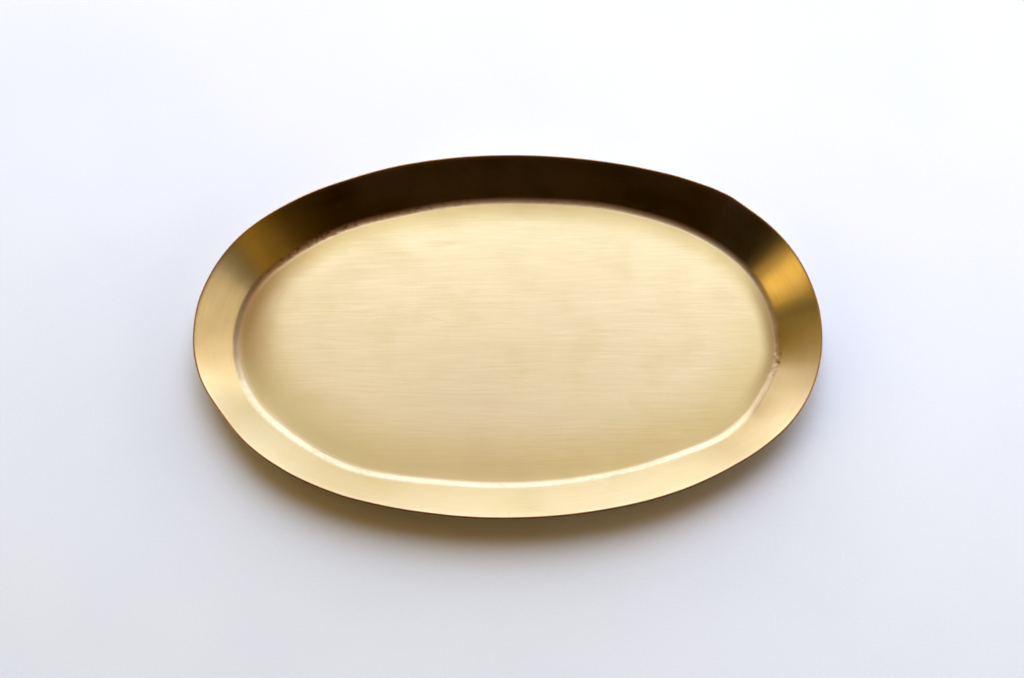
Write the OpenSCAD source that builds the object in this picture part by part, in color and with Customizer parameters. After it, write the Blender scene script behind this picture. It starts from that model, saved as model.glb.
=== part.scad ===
// Oval tray, formed by hand from one piece of brass sheet.
// The origin is on the surface that the tray stands on, under the middle of its outline.
// +X runs along the tray to its right end, +Y towards its back edge, +Z up.

/* [Tray] */
// Overall length, from rim to rim
tray_length = 300; // [280:5:330]
// Overall width, from rim to rim
tray_width = 181; // [170:1:195]
// Height of the rim's top above the surface that the tray stands on
tray_height = 17; // [14:0.5:20]
// Thickness of the brass sheet
sheet = 1; // [0.8:0.1:1.5]

/* [Rim] */
// Slope of the rim above the flat well, in degrees
rim_slope = 42; // [36:1:46]
// Inside radius of the bend between the well and the rim
bend_r = 5; // [3:0.5:8]
// Radius that eases the two corners of the cut edge
edge_ease = 0.3; // [0.1:0.05:0.35]

/* [Outline] */
// Direction, from the long axis, in which each end arc passes into its shoulder
end_angle = 50; // [46:1:54]
// Direction, from the long axis, in which each shoulder passes into its side arc
shoulder_angle = 75; // [72:1:78]
// Shoulder radius of the back right quarter, which the hand trimming left fullest
shoulder_back_right = 115; // [110:1:150]
// Shoulder radius of the back left quarter
shoulder_back_left = 145; // [110:1:150]
// Shoulder radius of the front left quarter
shoulder_front_left = 141; // [110:1:150]
// Shoulder radius of the front right quarter
shoulder_front_right = 149; // [110:1:150]

/* [Hidden] */

// Facets of a whole turn of the outline, and steps in the section's two kinds of round stretch
$fn = 360;
bend_steps = 11;
ease_steps = 3;

half_length = tray_length / 2;
half_width = tray_width / 2;

// The bend turns the sheet from level to the rim's slope.
bend_outer_r = bend_r + sheet;
bend_rise = bend_outer_r * (1 - cos(rim_slope));
bend_run = bend_outer_r * sin(rim_slope);

// Length of the straight slope, along the underside, up to the centres of the eased corners
slope_rise = tray_height - edge_ease - bend_rise - (sheet - edge_ease) * cos(rim_slope);
slope_length = slope_rise / sin(rim_slope);

// Distance in plan from the outline in to the start of the bend
rim_run = bend_run + slope_length * cos(rim_slope) + edge_ease * (1 - sin(rim_slope));

// The swept section carries a strip of the well's floor. The middle of the floor starts this far in
// from the bend, so it laps over most of the strip.
floor_strip = 14;
middle_gap = 2;

// Unit vector in the direction a
function heading(a) = [cos(a), sin(a)];

// Points along an arc, in a number of equal steps
function arc(centre, radius, start, stop, steps) =
    [for (i = [0:steps]) centre + radius * heading(start + (stop - start) * i / steps)];

// Point on the rim, at a distance along the slope from the bend and a height above the underside
function on_slope(along, above) =
    [bend_run - rim_run, bend_rise]
    + along * heading(rim_slope) + above * heading(rim_slope + 90);

// Section of the sheet, from the well's floor to the cut edge; x is measured from the outline
bend_centre = [-rim_run, bend_outer_r];
level = -90;
sloped = rim_slope - 90;
low_corner = on_slope(slope_length, edge_ease);
high_corner = on_slope(slope_length, sheet - edge_ease);
sheet_section = concat(
    [[-rim_run - floor_strip, 0]],
    arc(bend_centre, bend_outer_r, level, sloped, bend_steps),
    arc(low_corner, edge_ease, sloped, rim_slope, ease_steps),
    arc(high_corner, edge_ease, rim_slope, rim_slope + 90, ease_steps),
    arc(bend_centre, bend_r, sloped, level, bend_steps),
    [[-rim_run - floor_strip, sheet]]
);

// Each quarter of the outline is three tangent arcs: end, shoulder and side. Its end and side radii
// follow from its shoulder radius, because the arcs have to reach the tray's end and its side.
end_share = 1 - cos(end_angle);
side_share = 1 - sin(shoulder_angle);
reach_det = end_share * side_share - cos(shoulder_angle) * sin(end_angle);
function reach_x(shoulder) = half_length - shoulder * (cos(end_angle) - cos(shoulder_angle));
function reach_y(shoulder) = half_width - shoulder * (sin(shoulder_angle) - sin(end_angle));
function end_radius(shoulder) =
    (reach_x(shoulder) * side_share - reach_y(shoulder) * cos(shoulder_angle)) / reach_det;
function side_radius(shoulder) =
    (reach_y(shoulder) * end_share - reach_x(shoulder) * sin(end_angle)) / reach_det;

// Centres of a quarter's three arcs
function end_centre(shoulder) = [half_length - end_radius(shoulder), 0];
function shoulder_centre(shoulder) =
    end_centre(shoulder) + (end_radius(shoulder) - shoulder) * heading(end_angle);
function side_centre(shoulder) = [0, half_width - side_radius(shoulder)];

// Moves its children in two steps, a round figure and the small rest, to keep every digit
module place(p) {
    coarse = [for (v = p) round(v * 100) / 100];
    translate(coarse) translate(p - coarse) children();
}

// The section swept round one arc of the outline
module rim_arc(centre, radius, start, stop) {
    place(centre)
        rotate_extrude(angle = stop - start, start = start)
            place([radius, 0]) polygon(sheet_section);
}

// Middle of the floor in one quarter, with its free corners half way along the arcs
module floor_middle(shoulder) {
    inset = rim_run + middle_gap;
    linear_extrude(sheet) polygon([
        [0, 0],
        [half_length - inset, 0],
        end_centre(shoulder) + (end_radius(shoulder) - inset) * heading(end_angle / 2),
        shoulder_centre(shoulder)
            + (shoulder - inset) * heading((end_angle + shoulder_angle) / 2),
        side_centre(shoulder)
            + (side_radius(shoulder) - inset) * heading((shoulder_angle + 90) / 2),
        [0, half_width - inset]
    ]);
}

// One quarter of the tray, on the +X and +Y side
module quarter(shoulder) {
    floor_middle(shoulder);
    rim_arc(end_centre(shoulder), end_radius(shoulder), 0, end_angle);
    rim_arc(shoulder_centre(shoulder), shoulder, end_angle, shoulder_angle);
    rim_arc(side_centre(shoulder), side_radius(shoulder), shoulder_angle, 90);
}

// The whole tray: one sheet, whose four quarters differ a little in their shoulders
module tray() {
    color("#c9a24d") {
        quarter(shoulder_back_right);
        mirror([1, 0]) quarter(shoulder_back_left);
        mirror([1, 0]) mirror([0, 1]) quarter(shoulder_front_left);
        mirror([0, 1]) quarter(shoulder_front_right);
    }
}

tray();
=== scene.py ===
"""Oval brushed-brass tray: the looks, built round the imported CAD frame.

One sheet of brass, formed by hand: a flat well, a soft bend, a sloping rim and the cut edge. The mesh
follows the CAD section and outline, and adds what hand forming leaves: a rim trimmed a little unevenly,
tool marks in the bend, and a well that isn't quite flat. The bend follows the photo, up to three millimetres
off the drawn line.
Everything in Blender is in metres. The sheet is worked out in millimetres, in names that end in _mm.
"""

import math

import bpy
import numpy as np
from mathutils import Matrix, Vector, noise


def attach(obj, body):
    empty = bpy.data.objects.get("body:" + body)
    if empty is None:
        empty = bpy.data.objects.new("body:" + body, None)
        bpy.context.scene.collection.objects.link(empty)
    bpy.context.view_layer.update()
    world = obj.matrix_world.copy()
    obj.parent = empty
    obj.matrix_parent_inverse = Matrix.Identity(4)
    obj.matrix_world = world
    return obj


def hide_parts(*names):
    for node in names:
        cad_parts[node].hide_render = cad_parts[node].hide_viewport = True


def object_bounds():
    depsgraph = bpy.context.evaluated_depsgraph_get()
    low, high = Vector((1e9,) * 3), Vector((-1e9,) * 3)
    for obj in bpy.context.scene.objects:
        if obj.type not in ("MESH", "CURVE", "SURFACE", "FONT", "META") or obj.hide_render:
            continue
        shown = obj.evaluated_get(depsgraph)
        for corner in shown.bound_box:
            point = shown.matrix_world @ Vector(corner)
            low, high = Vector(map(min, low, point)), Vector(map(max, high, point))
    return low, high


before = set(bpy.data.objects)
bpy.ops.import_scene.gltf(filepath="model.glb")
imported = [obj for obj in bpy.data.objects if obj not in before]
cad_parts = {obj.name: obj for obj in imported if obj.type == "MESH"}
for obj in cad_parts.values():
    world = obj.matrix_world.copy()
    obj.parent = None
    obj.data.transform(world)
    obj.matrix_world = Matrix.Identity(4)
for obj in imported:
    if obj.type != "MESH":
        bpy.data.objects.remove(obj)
cad_low, cad_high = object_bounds()

MM = 0.001

# ---------------------------------------------------------------- the sheet's shape

HALF_LENGTH_MM = (cad_high.x - cad_low.x) / 2 / MM
HALF_WIDTH_MM = (cad_high.y - cad_low.y) / 2 / MM
HEIGHT_MM = (cad_high.z - cad_low.z) / MM
SHEET_MM = 1.0
BEND_R_MM = 5.0
EDGE_EASE_MM = 0.3
RIM_SLOPE = 42.0

# The outline, as in the CAD model: in each quarter an end arc, a shoulder and a side arc
END_ANGLE = 50.0
SHOULDER_ANGLE = 75.0
SHOULDER_R_MM = {"back_right": 115.0, "back_left": 145.0, "front_left": 141.0, "front_right": 149.0}

# Where forming tools left marks in the bend: a direction and a half breadth in degrees, and a strength
TOOL_MARKS = [(143, 16, 1.0), (112, 12, 0.55), (353, 5, 1.2), (215, 25, 0.35), (70, 15, 0.3), (295, 30, 0.25)]

# The ridges in those marks: how high, how broad, and how far they slant round the tray for each mm outward
TOOL_DEPTH_MM = 0.06
TOOL_SIZE_MM = 2.6
TOOL_SLANT = 1.4
TOOL_SEED = 4.4

# Middle of the bend, measured outward from where it starts
BEND_MIDDLE_MM = 2.0

# How far in from the bend the rim's brush marks reach, and where they reach further, given like the marks
# below
BAND_MM = 8.0
BAND_MARKS = [(192, 42, 16.0)]

# Points round the outline, a multiple of 8, and steps in each stretch of the section
ROUND_STEPS = 800
EASE_STEPS = 4
SLOPE_STEPS = 12
BEND_STEPS = 10

# Where the photo shows the rim or the bend off the drawn line. Some of the bend's may only make up for the
# camera's angle and the rim's height not agreeing. A mark has a direction from the middle of the tray and a
# half breadth, in degrees, and how far out it moves the line, in mm.
RIM_MARKS = [
    (197, 6.8, -2.0), (136, 7, -0.7), (156, 6, 0.5), (177, 4, 0.4), (129, 5, -0.2),
    (33, 4, 1.0), (60, 8, 0.3), (343, 8, 0.6), (333, 5, 0.4), (299, 8, 0.6), (233, 8, 0.25),
]
BEND_MARKS = [(226, 16, 2.2), (332, 9, 2.6), (354, 5, 1.0), (125, 14, -0.7), (58, 14, 1.2)]

# The well as a whole sits a little to the left of the outline, and is a little larger than drawn.
WELL_SHIFT_MM = (-0.65, -0.1)
WELL_GROWTH_MM = 0.3

# The well starts to curve up before the bend: how far in, behind and in front, and a slope. The curve reaches
# a share of that slope everywhere, and more of it at the marks, given like those above.
LEAD_IN_MM = {"back": 10.0, "front": 4.0}
LEAD_SLOPE = 0.075
LEAD_MARKS = [(80, 32, 0.7), (185, 22, 0.5), (270, 70, 0.15)]
LEAD_EVERYWHERE = 0.12
# How far out in the bend the lead-in fades
LEAD_FADE_MM = 4

# Unevenness in the sheet: its height and its size in mm, and its seed
RIPPLES = {
    "trimmed edge": (0.12, 22, 3.1),
    "bend line": (0.1, 14, 7.7),
    "well": (0.13, 85, 11.3),
    "well, fine": (0.006, 24, 5.9),
    "rim": (0.05, 60, 2.2),
    "rim, fine": (0.006, 19, 8.4),
}

# Rim slopes to choose from, in degrees, where the rim is broader or narrower than drawn
SLOPE_CHOICES = np.linspace(25, 60, 351)

# The edge moves outward by at most this, times one less the larger share of its outward way along X or Y.
# So it stays on the line at the ends and the sides, and the tray keeps its length and width.
TRIM_LIMIT_MM = 6


def heading(a):
    """Unit vector in the direction a, in degrees."""
    return np.array([math.cos(math.radians(a)), math.sin(math.radians(a))])


def quarter_arcs(shoulder_r):
    """Centre, radius, first and last direction of the three arcs of the quarter on the +X, +Y side."""
    end, shoulder = heading(END_ANGLE), heading(SHOULDER_ANGLE)
    reach = np.array([
        HALF_LENGTH_MM - shoulder_r * (end[0] - shoulder[0]),
        HALF_WIDTH_MM - shoulder_r * (shoulder[1] - end[1]),
    ])
    shares = np.array([[1 - end[0], shoulder[0]], [end[1], 1 - shoulder[1]]])
    end_r, side_r = np.linalg.solve(shares, reach)
    end_centre = np.array([HALF_LENGTH_MM - end_r, 0.0])
    return [
        (end_centre, end_r, 0.0, END_ANGLE),
        (end_centre + (end_r - shoulder_r) * end, shoulder_r, END_ANGLE, SHOULDER_ANGLE),
        (np.array([0.0, HALF_WIDTH_MM - side_r]), side_r, SHOULDER_ANGLE, 90.0),
    ]


def outline():
    """Points and outward normals at even steps round the drawn outline, counter-clockwise from +X."""
    points, normals = [], []
    for name, sx, sy in (("back_right", 1, 1), ("back_left", -1, 1),
                         ("front_left", -1, -1), ("front_right", 1, -1)):
        quarter = []
        for centre, r, first, last in quarter_arcs(SHOULDER_R_MM[name]):
            quarter += [(centre + r * heading(a), heading(a)) for a in np.linspace(first, last, 400)[:-1]]
        quarter.append((centre + r * heading(last), heading(last)))
        # A mirrored quarter is walked from its side arc to its end arc.
        quarter = quarter[:-1] if sx * sy > 0 else quarter[:0:-1]
        points += [p * (sx, sy) for p, n in quarter]
        normals += [n * (sx, sy) for p, n in quarter]
    points, normals = np.array(points + points[:1]), np.array(normals + normals[:1])
    walked = np.concatenate([[0], np.cumsum(np.linalg.norm(np.diff(points, axis=0), axis=1))])
    at = np.arange(ROUND_STEPS) * walked[-1] / ROUND_STEPS
    even = [np.stack([np.interp(at, walked, v[:, k]) for k in (0, 1)], 1) for v in (points, normals)]
    return even[0], even[1] / np.linalg.norm(even[1], axis=1)[:, None]


def marks(directions, table):
    """Sum of the hand marks at each direction, in mm."""
    out = np.zeros(len(directions))
    for centre, breadth, depth in table:
        away = (directions - centre + 180) % 360 - 180
        out += depth * np.exp(-((away / breadth) ** 2))
    return out


def waves(x, y, size_mm, seed, octaves=2):
    """Smooth noise, about -1 to 1, at plan points in mm, with features of about size_mm."""
    return np.array([noise.fractal(Vector((a / size_mm, b / size_mm, seed)), 1.0, 2.0, octaves)
                     for a, b in zip(x, y)])


def ripple(x, y, name):
    """One of the RIPPLES, in mm, at plan points in mm."""
    height_mm, size_mm, seed = RIPPLES[name]
    return height_mm * waves(x, y, size_mm, seed)


def section(slope):
    """Section of the sheet for an array of slopes, from the bend's start over the top of the rim and back
    under to the bend's start: distances outward from there and heights, one row for each slope, then the
    whole run from the bend's start to the outermost point."""
    s = np.radians(slope)[:, None]
    right = math.pi / 2
    bend_out = BEND_R_MM + SHEET_MM
    bend_run, bend_rise = bend_out * np.sin(s), bend_out * (1 - np.cos(s))
    rise = HEIGHT_MM - EDGE_EASE_MM - bend_rise - (SHEET_MM - EDGE_EASE_MM) * np.cos(s)
    straight = rise / np.sin(s)
    run = bend_run + straight * np.cos(s) + EDGE_EASE_MM * (1 - np.sin(s))

    def on_slope(along, above):
        return (bend_run + along * np.cos(s) - above * np.sin(s),
                bend_rise + along * np.sin(s) + above * np.cos(s))

    def arc(centre, r, first, last, steps):
        a = first + (last - first) * np.linspace(0, 1, steps + 1)[None, :]
        return centre[0] + r * np.cos(a), centre[1] + r * np.sin(a)

    level, sloped = 0 * s - right, s - right
    share = np.linspace(0, 1, SLOPE_STEPS + 1)[None, 1:-1]
    bend_centre = (0 * s, 0 * s + bend_out)
    high = on_slope(straight, SHEET_MM - EDGE_EASE_MM)
    low = on_slope(straight, EDGE_EASE_MM)
    parts = [
        arc(bend_centre, BEND_R_MM, level, sloped, BEND_STEPS),
        on_slope(straight * share, SHEET_MM),
        arc(high, EDGE_EASE_MM, s + right, s, EASE_STEPS),
        arc(low, EDGE_EASE_MM, s, sloped, EASE_STEPS),
        on_slope(straight * share[:, ::-1], 0),
        arc(bend_centre, bend_out, sloped, level, BEND_STEPS),
    ]
    return np.concatenate([p[0] for p in parts], 1), np.concatenate([p[1] for p in parts], 1), run[:, 0]


def fill(ring):
    """Grid of plan points inside a ring of 4 n points, blended from its four sides, and the ring's index
    at each boundary point, or -1 inside. The first index runs along +X, the second along +Y."""
    n = len(ring) // 4
    k = np.arange(n + 1)
    index = np.full((n + 1, n + 1), -1)
    index[:, 0] = 5 * n // 2 + k
    index[:, n] = 3 * n // 2 - k
    index[0, :] = 5 * n // 2 - k
    index[n, :] = (7 * n // 2 + k) % (4 * n)
    front, back, left, right = (ring[i] for i in (index[:, 0], index[:, n], index[0], index[n]))
    u, v = (k / n)[:, None, None], (k / n)[None, :, None]
    grid = (1 - v) * front[:, None] + v * back[:, None] + (1 - u) * left[None] + u * right[None]
    grid -= (1 - u) * (1 - v) * front[0] + u * (1 - v) * front[n]
    grid -= (1 - u) * v * back[0] + u * v * back[n]
    return grid, index


def formed_sheet():
    """Vertices in mm, faces, and for each vertex: the distances along the sheet from the cut edge and from
    the middle of the bend in mm, the outward way there, how far the surface is brushed round the rim (1)
    or along the well (0), and how hard tools worked the bend there."""
    drawn, out = outline()
    directions = np.degrees(np.arctan2(drawn[:, 1], drawn[:, 0])) % 360
    x, y = drawn.T

    rim_off = marks(directions, RIM_MARKS) + ripple(x, y, "trimmed edge")
    bend_off = marks(directions, BEND_MARKS) + ripple(x, y, "bend line")
    bend_off += WELL_GROWTH_MM + out @ WELL_SHIFT_MM
    rim_off = np.minimum(rim_off, np.maximum(0, TRIM_LIMIT_MM * (1 - np.abs(out).max(1))))

    runs = section(SLOPE_CHOICES)[2]
    drawn_run = np.interp(RIM_SLOPE, SLOPE_CHOICES, runs)
    slope = np.interp(-(drawn_run + rim_off - bend_off), -runs, SLOPE_CHOICES)
    outward, height, run = section(slope)
    start = drawn - (drawn_run - bend_off)[:, None] * out
    rings = start[:, None] + outward[..., None] * out[:, None]
    across_sheet = np.cumsum(np.hypot(np.diff(outward, axis=1), np.diff(height, axis=1)), axis=1)
    across_sheet = np.concatenate([np.zeros((len(x), 1)), across_sheet], 1)
    edge_at = across_sheet[:, BEND_STEPS + SLOPE_STEPS + EASE_STEPS][:, None]
    station = np.abs(across_sheet - edge_at)
    from_bend = np.abs(station - (station[:, :1] - BEND_MIDDLE_MM))

    grid, index = fill(start)
    inside = index < 0
    floor = grid[inside]
    nearest = 4 * np.hypot(*(floor[:, None] - start[None, ::4]).transpose(2, 0, 1)).argmin(1)
    gap = np.abs(((floor - start[nearest]) * out[nearest]).sum(1))

    n, m = outward.shape
    ids = np.arange(n * m).reshape(n, m)
    ring_points = rings.reshape(-1, 2)
    plan = np.concatenate([ring_points, floor, floor])
    n_floor = len(floor)
    z = np.concatenate([height.reshape(-1), np.full(n_floor, SHEET_MM), np.zeros(n_floor)])
    stations = np.concatenate([station.reshape(-1), station[nearest, 0] + gap, station[nearest, -1] + gap])
    bends = np.concatenate([from_bend.reshape(-1), BEND_MIDDLE_MM + gap, BEND_MIDDLE_MM + gap])

    # The well and the rim aren't quite true. The lift fades out up the rim, so the rim keeps its height.
    lift = ripple(*plan.T, "well") + ripple(*plan.T, "well, fine")
    reach_mm = LEAD_IN_MM["front"] + (LEAD_IN_MM["back"] - LEAD_IN_MM["front"]) * (1 + out[:, 1]) / 2
    lead = LEAD_SLOPE * (LEAD_EVERYWHERE + marks(directions, LEAD_MARKS))
    in_bend = (lead * reach_mm / 2)[:, None] + lead[:, None] * outward * np.exp(-outward / LEAD_FADE_MM)
    in_well = (lead * reach_mm / 2)[nearest] * np.clip(1 - gap / reach_mm[nearest], 0, 1) ** 2
    lift += np.concatenate([in_bend.reshape(-1), in_well, in_well])
    lift -= lift.min()
    up = np.clip((z - SHEET_MM) / (HEIGHT_MM - SHEET_MM), 0, 1)
    rim_waves = ripple(*plan.T, "rim") + ripple(*plan.T, "rim, fine")
    z = z + lift * (1 - up) + 4 * up * (1 - up) * rim_waves

    # Tool marks: short ridges along the bend, on its upper face
    worked = marks(directions, TOOL_MARKS)
    for column in range(BEND_STEPS + 3):
        reach = outward[:, column]
        fade = np.exp(-(((reach - BEND_MIDDLE_MM) / BEND_MIDDLE_MM) ** 2))
        slanted = [along + TOOL_SLANT * reach * way for along, way in zip((x, y), out.T)]
        ridges = waves(*slanted, TOOL_SIZE_MM, TOOL_SEED, octaves=3)
        z[ids[:, column]] += TOOL_DEPTH_MM * worked * fade * ridges
    vertices = np.concatenate([plan, z[:, None]], 1)

    # The rim's brush marks run on into the edge of the well and fade out there.
    band = (BAND_MM + marks(directions, BAND_MARKS))[nearest]
    rim_share = np.clip((band - gap) / band, 0, 1)
    rim_share = rim_share ** 2 * (3 - 2 * rim_share)
    ways = np.concatenate([np.repeat(out, outward.shape[1], 0), out[nearest], out[nearest]])
    shares = np.concatenate([np.ones(len(ring_points)), rim_share, rim_share])
    works = np.concatenate([np.repeat(worked, outward.shape[1]), worked[nearest], worked[nearest]])

    # Faces: strips between neighbouring sections, then the grid over and under the well
    after = np.roll(ids, -1, 0)
    faces = [np.stack([ids[:, :-1], ids[:, 1:], after[:, 1:], after[:, :-1]], -1).reshape(-1, 4)]
    for layer, column in ((0, 0), (1, m - 1)):
        mesh_index = np.empty(index.shape, int)
        mesh_index[~inside] = ids[index[~inside], column]
        mesh_index[inside] = n * m + layer * n_floor + np.arange(n_floor)
        quads = np.stack([mesh_index[:-1, :-1], mesh_index[1:, :-1], mesh_index[1:, 1:],
                          mesh_index[:-1, 1:]], -1).reshape(-1, 4)
        faces.append(quads if layer == 0 else quads[:, ::-1])
    values = {"station_mm": stations, "from_bend_mm": bends, "rim_share": shares, "worked": works}
    return vertices, np.concatenate(faces), values, ways


def build_tray():
    """The tray as one mesh, with what its material needs as attributes."""
    vertices, faces, point_values, ways = formed_sheet()
    mesh = bpy.data.meshes.new("formed_tray")
    mesh.from_pydata((vertices * MM).tolist(), [], faces.tolist())
    mesh.validate()
    mesh.shade_smooth()
    for name, values in point_values.items():
        mesh.attributes.new(name, "FLOAT", "POINT").data.foreach_set("value", values.astype(np.float32))
    outward = np.concatenate([ways, np.zeros((len(ways), 1))], 1).astype(np.float32)
    mesh.attributes.new("outward", "FLOAT_VECTOR", "POINT").data.foreach_set("vector", outward.reshape(-1))
    tray = bpy.data.objects.new("formed_tray", mesh)
    bpy.context.scene.collection.objects.link(tray)
    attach(tray, "root")
    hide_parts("tray")
    return tray


# ---------------------------------------------------------------- materials


class Nodes:
    """A short way to write a material's node tree: each call makes a node and returns its output."""

    def __init__(self, tree):
        self.tree = tree

    def make(self, kind, inputs=(), out=0, **settings):
        node = self.tree.nodes.new(kind)
        for key, value in settings.items():
            setattr(node, key, value)
        for key, value in dict(inputs).items():
            if isinstance(value, bpy.types.NodeSocket):
                self.tree.links.new(value, node.inputs[key])
            else:
                node.inputs[key].default_value = value
        return node.outputs[out]

    def math(self, operation, a, b=0.0, c=0.0):
        return self.make("ShaderNodeMath", {0: a, 1: b, 2: c}, operation=operation)

    def ramp(self, value, low, high, to_low=0.0, to_high=1.0, kind="SMOOTHSTEP"):
        return self.make("ShaderNodeMapRange", {0: value, 1: low, 2: high, 3: to_low, 4: to_high},
                         interpolation_type=kind)

    def noise(self, vector, scale=1.0, detail=2.0, roughness=0.5):
        return self.make("ShaderNodeTexNoise", {"Vector": vector, "Scale": scale, "Detail": detail,
                                                "Roughness": roughness})

    def mix(self, factor, a, b):
        return self.make("ShaderNodeMix", {0: factor, 2: a, 3: b}, out=0, data_type="FLOAT")

    def mix_color(self, factor, a, b, blend="MIX"):
        return self.make("ShaderNodeMix", {0: factor, 6: a, 7: b}, out=2, data_type="RGBA", blend_type=blend)

    def combine(self, x, y, z):
        return self.make("ShaderNodeCombineXYZ", {0: x, 1: y, 2: z})

    def attribute(self, name, out=2):
        return self.make("ShaderNodeAttribute", out=out, attribute_name=name)


# Colours of the brass: between the strokes and in them, then dull, scratched, tarnished, and the cut edge's
# painted reflection
CLEAN_BRASS = (0.575, 0.466, 0.265, 1)
DARK_STROKE = (0.53, 0.422, 0.234, 1)
DULL_BRASS = (0.53, 0.428, 0.236, 1)
SCRATCH = (0.35, 0.27, 0.15, 1)
TARNISH = (0.20, 0.11, 0.04, 1)
EDGE_PAINTED_REFLECTION = (0.42, 0.2, 0.09, 1)

# What wear and painted shade multiply them by: handled blotches, also painted shade near the bend and in
# front; smudges; and the bend's painted dimming of its highlight
HANDLED_AND_SHADE = (0.915, 0.885, 0.73, 1)
SMUDGED = (0.78, 0.77, 0.73, 1)
BENT_AND_HIGHLIGHT_DIMMING = (0.85, 0.83, 0.92, 1)

# How close the patterns in the brass and in the stone are, in cells to a metre
CELLS = {
    "drift": 9.0, "blotches": 40.0, "smudges": 24.0, "scratched patches": 31.0, "tarnish": 420.0,
    "pores": 1300.0, "cloud": 11.0, "grit": 900.0,
}

# Brush strokes: length and width in metres, and detail
STROKES = {"fine": (0.02, 0.0009, 2.0), "medium": (0.05, 0.0021, 1.0), "broad": (0.11, 0.009, 1.0)}
# How much each makes of the grain
GRAIN_SHARES = {"fine": 0.6, "medium": 0.22, "pores": 0.18}
# The grain's usual range, and the roughness in the strokes and between them
GRAIN_RANGE = (0.36, 0.64)
ROUGHNESS = (0.355, 0.315)


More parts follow.
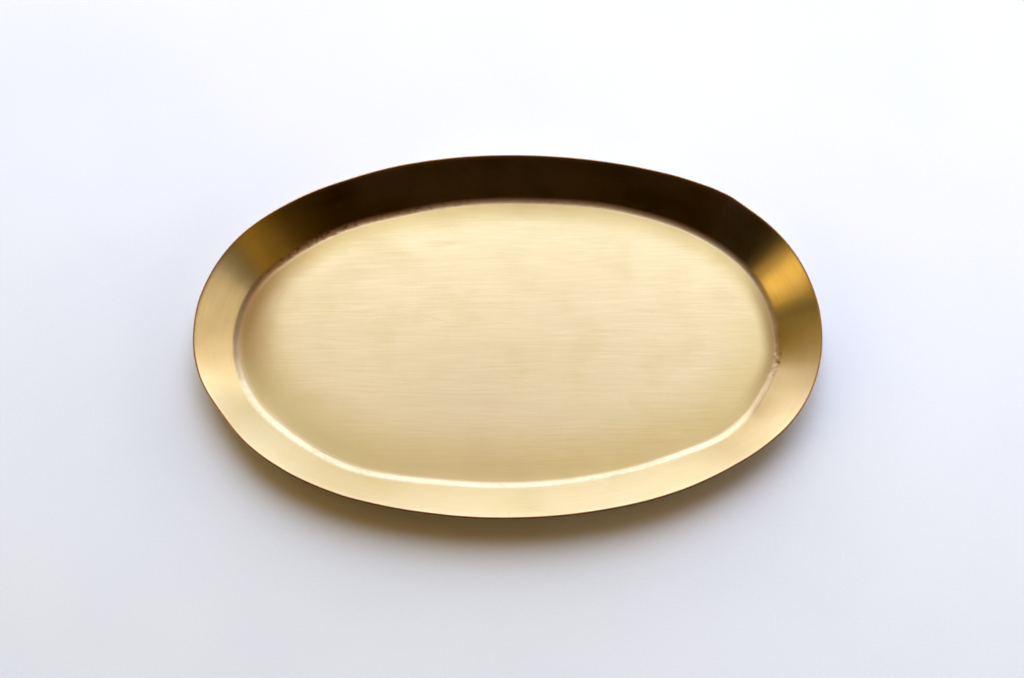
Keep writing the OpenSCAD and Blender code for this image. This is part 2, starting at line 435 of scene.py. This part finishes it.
def brushed_brass():
    """Brass brushed along the well and round the rim, with worn lines, a few scratches and faint tarnish."""
    material = bpy.data.materials.new("brushed_brass")
    material.use_nodes = True
    tree = material.node_tree
    n = Nodes(tree)

    place = n.make("ShaderNodeTexCoord", out=3)
    xyz = tree.nodes.new("ShaderNodeSeparateXYZ")
    tree.links.new(place, xyz.inputs[0])
    x, y = xyz.outputs[0], xyz.outputs[1]
    station = n.math("MULTIPLY", n.attribute("station_mm"), MM)
    rim_share = n.attribute("rim_share")

    # The brush strokes wander a little, so they are drawn on a gently warped sheet.
    drift = n.math("MULTIPLY", n.math("SUBTRACT", n.noise(place, CELLS["drift"], 1.0), 0.5), 0.008)
    y_drift = n.math("ADD", y, drift)
    station_drift = n.math("ADD", station, n.math("MULTIPLY", drift, 0.15))

    def strokes(length, width, detail):
        """Streaks of about this length and width, in metres, along the well and round the rim."""
        low, high = 1 / length, 1 / width
        in_well = n.combine(n.math("MULTIPLY", x, low), n.math("MULTIPLY", y_drift, high), 0.0)
        on_rim = n.combine(n.math("MULTIPLY", x, low), n.math("MULTIPLY", y, low),
                           n.math("MULTIPLY", station_drift, high))
        return n.mix(rim_share, n.noise(in_well, 1.0, detail), n.noise(on_rim, 1.0, detail))

    fine, medium, broad = (strokes(*size) for size in STROKES.values())
    pores = n.noise(place, CELLS["pores"], 1.0)
    grain = n.math("ADD", n.math("MULTIPLY", fine, GRAIN_SHARES["fine"]),
                   n.math("MULTIPLY", medium, GRAIN_SHARES["medium"]))
    grain = n.math("ADD", grain, n.math("MULTIPLY", pores, GRAIN_SHARES["pores"]))
    # The rim was rubbed smoother than the well.
    grain = n.mix(n.math("MULTIPLY", rim_share, 0.6), grain, 0.5)

    # Colour: clean brass, darker in the bottoms of the strokes, yellower where it has been handled
    blotch = n.noise(place, CELLS["blotches"], 3.0)
    tone = n.mix_color(n.ramp(grain, *GRAIN_RANGE, kind="LINEAR"), DARK_STROKE, CLEAN_BRASS)
    tone = n.mix_color(n.ramp(broad, 0.4, 0.65, 0.0, 0.4), tone, DULL_BRASS)
    tone = n.mix_color(n.ramp(blotch, 0.48, 0.7, 0.0, 0.28), tone, HANDLED_AND_SHADE, "MULTIPLY")
    smudges = n.noise(place, CELLS["smudges"], 2.0)
    smudge = n.math("MULTIPLY", n.ramp(smudges, 0.45, 0.75, 0.0, 0.25), rim_share)
    tone = n.mix_color(smudge, tone, SMUDGED, "MULTIPLY")

    # Scratches: thin stretches of the level lines of a broad noise, few and faint
    slanted = n.math("ADD", y, n.math("MULTIPLY", x, 0.3))
    drawn_out = n.combine(n.math("MULTIPLY", x, 9.0), n.math("MULTIPLY", slanted, 55.0), 0.0)
    wander = n.math("ABSOLUTE", n.math("SUBTRACT", n.noise(drawn_out, 1.0, 0.0), 0.5))
    patch = n.ramp(n.noise(place, CELLS["scratched patches"], 0.0), 0.6, 0.68)
    scratch = n.math("MULTIPLY", n.ramp(wander, 0.006, 0.002), patch)
    tone = n.mix_color(n.math("MULTIPLY", scratch, 0.16), tone, SCRATCH)

    # In the bend: worked brass with a painted dimming that tones down and whitens the window's reflection,
    # and tarnish in spots where the tools slipped
    from_bend = n.attribute("from_bend_mm")
    spots = n.ramp(n.noise(place, CELLS["tarnish"], 2.0), 0.5, 0.66)
    in_bend = n.ramp(from_bend, 2.2, 0.6)
    tone = n.mix_color(n.math("MULTIPLY", in_bend, 0.7), tone, BENT_AND_HIGHLIGHT_DIMMING, "MULTIPLY")
    worked = n.math("ADD", n.math("MULTIPLY", n.attribute("worked"), 0.5), 0.03)
    tarnish = n.math("MULTIPLY", n.math("MULTIPLY", spots, in_bend), worked)
    tone = n.mix_color(tarnish, tone, TARNISH)

    # Darker at the edge of the well all round, and in a broader band in front: painted shade, standing in for
    # the dimmer reflections there
    in_well = n.ramp(rim_share, 1.0, 0.98, 0.1, 0.9)
    near_bend = n.math("MULTIPLY", n.ramp(from_bend, 16.0, 3.0), in_well)
    in_front = n.math("MULTIPLY", n.ramp(from_bend, 36.0, 8.0), n.ramp(y, 0.045, -0.025))
    painted_well_shade = n.math("MAXIMUM", near_bend, n.math("MULTIPLY", in_front, in_well))
    tone = n.mix_color(painted_well_shade, tone, HANDLED_AND_SHADE, "MULTIPLY")

    # The cut edge is painted a dark copper brown: a painted reflection of the shaded floor in front of it.
    on_edge = n.ramp(n.attribute("station_mm"), 0.75, 0.45)
    tone = n.mix_color(n.math("MULTIPLY", on_edge, 0.6), tone, EDGE_PAINTED_REFLECTION)

    # Rougher in the strokes, in blotches, in the bend and on the cut edge
    roughness = n.math("ADD", n.ramp(grain, *GRAIN_RANGE, *ROUGHNESS), n.ramp(blotch, 0.3, 0.7, -0.015, 0.02))
    roughness = n.math("ADD", roughness, n.math("MULTIPLY", in_bend, 0.07))
    roughness = n.math("ADD", roughness, n.math("MULTIPLY", on_edge, 0.25))
    height = n.math("SUBTRACT", grain, n.math("MULTIPLY", scratch, 0.3))
    bump = n.make("ShaderNodeBump", {"Strength": 0.3, "Distance": 0.00004, "Height": height})

    # One finish with two brush directions: along X in the well, and round the rim
    finishes = []
    for across in (n.combine(0.0, 1.0, 0.0), n.attribute("outward", out=1)):
        shader = tree.nodes.new("ShaderNodeBsdfPrincipled")
        inputs = {"Base Color": tone, "Roughness": roughness, "Normal": bump, "Tangent": across}
        for socket, value in inputs.items():
            tree.links.new(value, shader.inputs[socket])
        shader.inputs["Metallic"].default_value = 1.0
        shader.inputs["Anisotropic"].default_value = 0.8
        finishes.append(shader.outputs[0])
    both = n.make("ShaderNodeMixShader", {0: rim_share, 1: finishes[0], 2: finishes[1]})
    tree.links.new(both, tree.nodes["Material Output"].inputs[0])
    tree.nodes.remove(tree.nodes["Principled BSDF"])
    return material


# Painted light on the floor: its colour in front of the tray on the left, in painted shade, and behind it on
# the right, where the window lights it, the way from one to the other, and the distances in metres between
# which one passes into the other
FLOOR_SHADED_NEAR = (0.775, 0.775, 0.70, 1)
FLOOR_LIT_FAR = (0.945, 0.94, 0.90, 1)
PAINTED_LIGHT_WAY = (0.28, 0.96, 0.0)
PAINTED_LIGHT_FADE = (-0.19, 0.17)
# What clouds and grit in the stone multiply its colour by
STONE_CLOUD = (0.93, 0.945, 0.97, 1)
STONE_GRIT = (0.93, 0.935, 0.94, 1)
FLOOR_HALF = 6.0


def pale_floor():
    """Plain honed stone, nearly white and clouded a little, with painted light: greyer towards the front,
    lighter towards the back.
    """
    material = bpy.data.materials.new("pale_floor")
    material.use_nodes = True
    tree = material.node_tree
    shader = tree.nodes["Principled BSDF"]
    n = Nodes(tree)
    place = n.make("ShaderNodeTexCoord", out=3)
    # Painted light: the floor is greyer in front and lighter at the back, towards the window.
    along = n.make("ShaderNodeVectorMath", {0: place, 1: PAINTED_LIGHT_WAY}, out=1, operation="DOT_PRODUCT")
    tone = n.mix_color(n.ramp(along, *PAINTED_LIGHT_FADE, kind="LINEAR"), FLOOR_SHADED_NEAR, FLOOR_LIT_FAR)
    cloud = n.ramp(n.noise(place, CELLS["cloud"], 4.0), 0.35, 0.7, 0.0, 0.35)
    tone = n.mix_color(cloud, tone, n.mix_color(1.0, tone, STONE_CLOUD, "MULTIPLY"))
    grit = n.ramp(n.noise(place, CELLS["grit"], 2.0), 0.3, 0.7, 0.0, 0.3)
    tone = n.mix_color(grit, tone, n.mix_color(1.0, tone, STONE_GRIT, "MULTIPLY"))
    tree.links.new(tone, shader.inputs["Base Color"])
    shader.inputs["Roughness"].default_value = 0.5
    shader.inputs["Specular IOR Level"].default_value = 0.2
    return material


# ---------------------------------------------------------------- stage, light and camera


def toward(azimuth, elevation):
    """Unit vector towards a place in the sky; azimuth is from +X towards +Y."""
    a, e = math.radians(azimuth), math.radians(elevation)
    return Vector((math.cos(a) * math.cos(e), math.sin(a) * math.cos(e), math.sin(e)))


def build_floor():
    corners = [(sx * FLOOR_HALF, sy * FLOOR_HALF, 0) for sx, sy in ((-1, -1), (1, -1), (1, 1), (-1, 1))]
    mesh = bpy.data.meshes.new("floor")
    mesh.from_pydata(corners, [], [(0, 1, 2, 3)])
    floor = bpy.data.objects.new("floor", mesh)
    mesh.materials.append(pale_floor())
    bpy.context.scene.collection.objects.link(floor)
    floor.location.z = cad_low.z


# Soft patches of light in the room round the tray: the azimuth and elevation of the middle, half the
# breadth and half the height, how soft the sides and the ends are, all in degrees, and the light's colour
ROOM_LIGHTS = {
    "window": (83, 48, 36, 19, 8, 8, (4.05, 4.95, 6.9)),
    "window_sill": (91, 7, 49, 15, 29, 13, (3.0, 3.3, 4.6)),
    "right_wall": (14, 15, 36, 10, 15, 9, (2.95, 2.8, 2.65)),
    "left_wall": (138, 27, 34, 34, 8, 24, (0.7, 0.53, 0.18)),
    "lamp": (192, 18, 9, 23, 8, 8, (2.95, 2.25, 0.95)),
    "front_wall": (320, 25, 9, 23, 8, 8, (0.75, 0.53, 0.14)),
    "ceiling": (0, 88, 160, 33, 11, 28, (0.5, 0.22, 0.0)),
}
ROOM_DARK = (0.005, 0.03, 0.06)
# What the camera sees where it looks past the floor
BACKDROP = (0.80, 0.81, 0.83, 1)


def build_room():
    """The room's light as a world: dark, with soft patches of light at the back and on the sides."""
    world = bpy.data.worlds.new("room")
    bpy.context.scene.world = world
    world.use_nodes = True
    tree = world.node_tree
    n = Nodes(tree)
    way = tree.nodes.new("ShaderNodeSeparateXYZ")
    tree.links.new(n.make("ShaderNodeTexCoord"), way.inputs[0])
    azimuth = n.math("MULTIPLY", n.math("ARCTAN2", way.outputs[1], way.outputs[0]), 180 / math.pi)
    elevation = n.math("MULTIPLY", n.math("ARCSINE", way.outputs[2]), 180 / math.pi)
    total = (*ROOM_DARK, 1)
    for middle, height, half_breadth, half_height, soft_side, soft_end, color in ROOM_LIGHTS.values():
        turned = n.math("WRAP", n.math("SUBTRACT", azimuth, middle), 180.0, -180.0)
        side = n.ramp(n.math("ABSOLUTE", turned), half_breadth + soft_side, half_breadth - soft_side)
        end = n.ramp(n.math("ABSOLUTE", n.math("SUBTRACT", elevation, height)),
                     half_height + soft_end, half_height - soft_end)
        patch = n.mix_color(n.math("MULTIPLY", side, end), (0, 0, 0, 1), (*color, 1))
        total = n.mix_color(1.0, total, patch, "ADD")
    seen = n.mix_color(n.make("ShaderNodeLightPath"), total, BACKDROP)
    tree.links.new(seen, tree.nodes["Background"].inputs["Color"])


def build_camera():
    """The photograph's view: from the front, high above the tray. The 50 mm lens is assumed, and the
    elevation goes with it and with the tray's width, not with its height."""
    data = bpy.data.cameras.new("camera")
    data.lens, data.sensor_width = 50.0, 36.0
    camera = bpy.data.objects.new("camera", data)
    elevation, distance, roll = 73.8, 0.6889, 0.34
    aim = Vector((0.00203, -0.00106, 0.005))
    away = toward(270 - roll, elevation)
    camera.location = aim + away * distance
    camera.rotation_mode = "QUATERNION"
    camera.rotation_quaternion = away.to_track_quat("Z", "Y")
    data.clip_start, data.clip_end = 0.01, 50.0
    bpy.context.scene.collection.objects.link(camera)
    bpy.context.scene.camera = camera


def grade_picture():
    """The contrast of a studio photograph: deep blacks and a little extra contrast."""
    view = bpy.context.scene.view_settings
    view.view_transform = "Standard"
    view.gamma = 0.8
    view.use_curve_mapping = True
    view.curve_mapping.black_level = (0.042, 0.036, 0.025)
    view.curve_mapping.update()


tray = build_tray()
tray.data.materials.append(brushed_brass())
build_floor()
build_room()
build_camera()
grade_picture()
